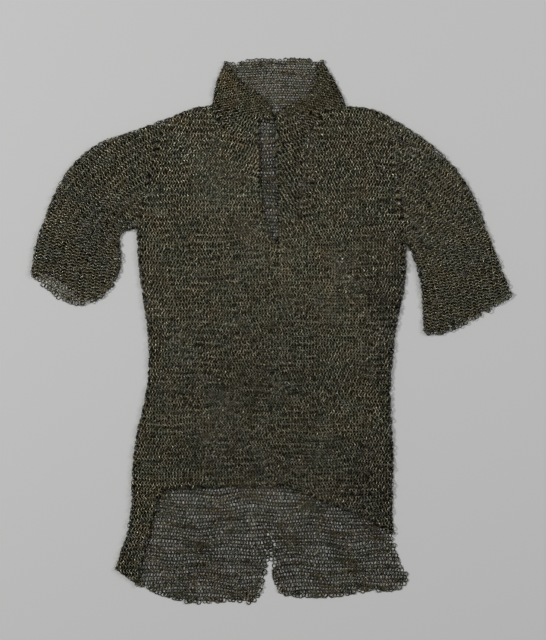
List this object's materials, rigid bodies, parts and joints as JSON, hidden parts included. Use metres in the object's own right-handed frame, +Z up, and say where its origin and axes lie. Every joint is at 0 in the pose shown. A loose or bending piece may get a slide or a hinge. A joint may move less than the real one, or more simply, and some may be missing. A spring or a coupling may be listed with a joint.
{
  "type": "chainmail hauberk",
  "caption": "Short-sleeved chainmail hauberk laid out flat, with a standing collar, a neck slit, an arched front hem and longer tails split by a vent at the back.",
  "frame": {"origin": "middle of the footprint of the shirt, on the surface that it lies on", "axes": "+Y from the hem to the collar, +X to the right as seen from above, +Z up out of the front of the shirt"},
  "size_m": [0.87, 0.9844, 0.0132],
  "materials": {
    "body_mail": "old iron wire rings, dark with a dull brownish patina, worn brighter on their crowns",
    "sleeve_mail": "slightly larger iron rings in the same dull brownish patina",
    "collar_mail": "small close-set iron rings in the same dull brownish patina"
  },
  "bodies": {
    "root": {"back_panel": "body_mail", "front_panel": "body_mail", "sleeve_left_under": "sleeve_mail", "sleeve_left_upper": "sleeve_mail", "sleeve_right_under": "sleeve_mail", "sleeve_right_upper": "sleeve_mail", "collar_back": "collar_mail", "collar_front_left": "collar_mail", "collar_front_right": "collar_mail"}
  },
  "joints": []
}
